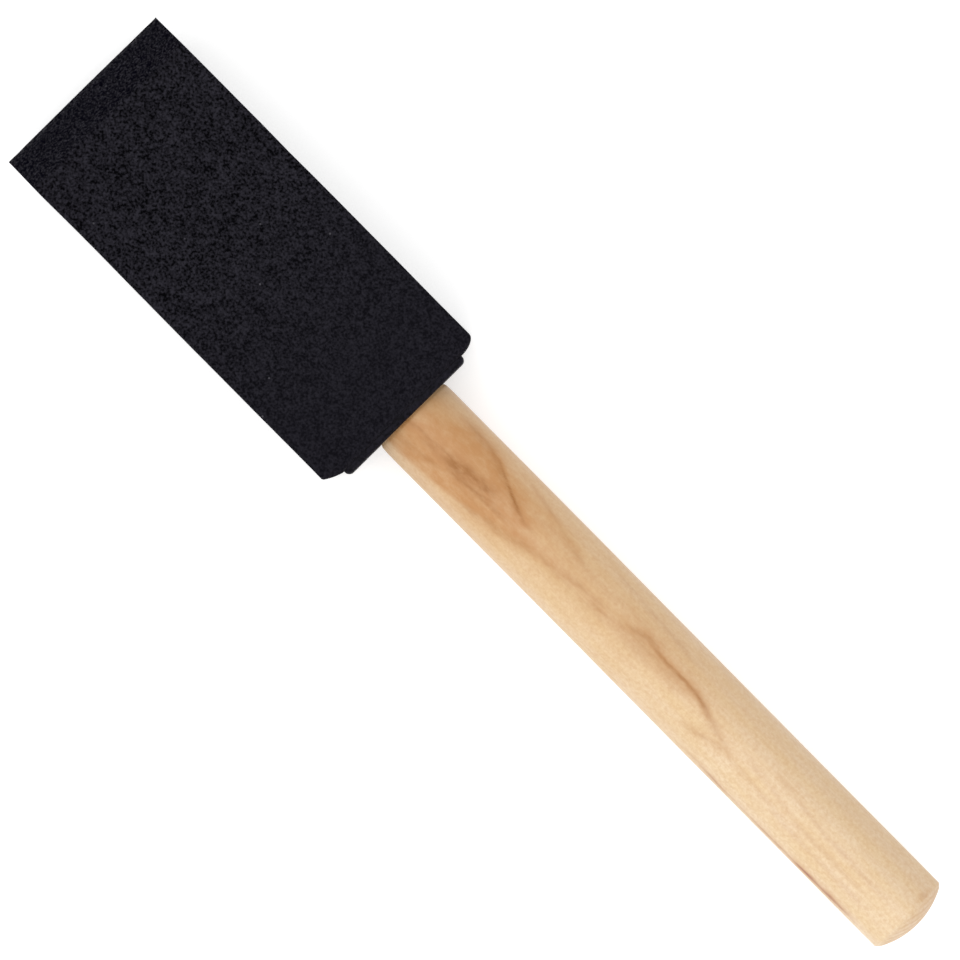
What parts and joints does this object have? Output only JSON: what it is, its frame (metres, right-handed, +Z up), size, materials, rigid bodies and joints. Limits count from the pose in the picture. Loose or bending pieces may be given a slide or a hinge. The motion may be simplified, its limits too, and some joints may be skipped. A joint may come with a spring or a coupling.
{
  "type": "foam sponge brush",
  "caption": "Foam brush for paint and stain: a chisel-tipped foam block that flexes at its free end, glued over a moulded core on a round wooden handle.",
  "frame": {"origin": "middle of the brush's length and of the foam's width, on the surface that the foam's lower broad face rests on", "axes": "+X along the brush, from the foam's tip to the end of the handle; +Y across the foam's broad face; +Z up, through the foam's thickness"},
  "size_m": [0.1428, 0.025, 0.016],
  "materials": {
    "foam": "matte",
    "core_plastic": "satin",
    "adhesive": "satin",
    "wood": "matte"
  },
  "bodies": {
    "handle": {"wooden_dowel": "wood", "plastic_core": "core_plastic", "blade_adhesive": "adhesive", "dowel_adhesive": "adhesive", "foam_body": "foam"},
    "foam_tip": {"foam_tip": "foam"}
  },
  "joints": [
    {"name": "foam_tip_flex", "type": "hinge", "parent": "handle", "child": "foam_tip", "pos_m": [-0.0599, 0, 0.008], "axis": [0, 1, 0], "range_deg": [-40, 40], "stiffness_Nm_per_rad": 0.024}
  ]
}
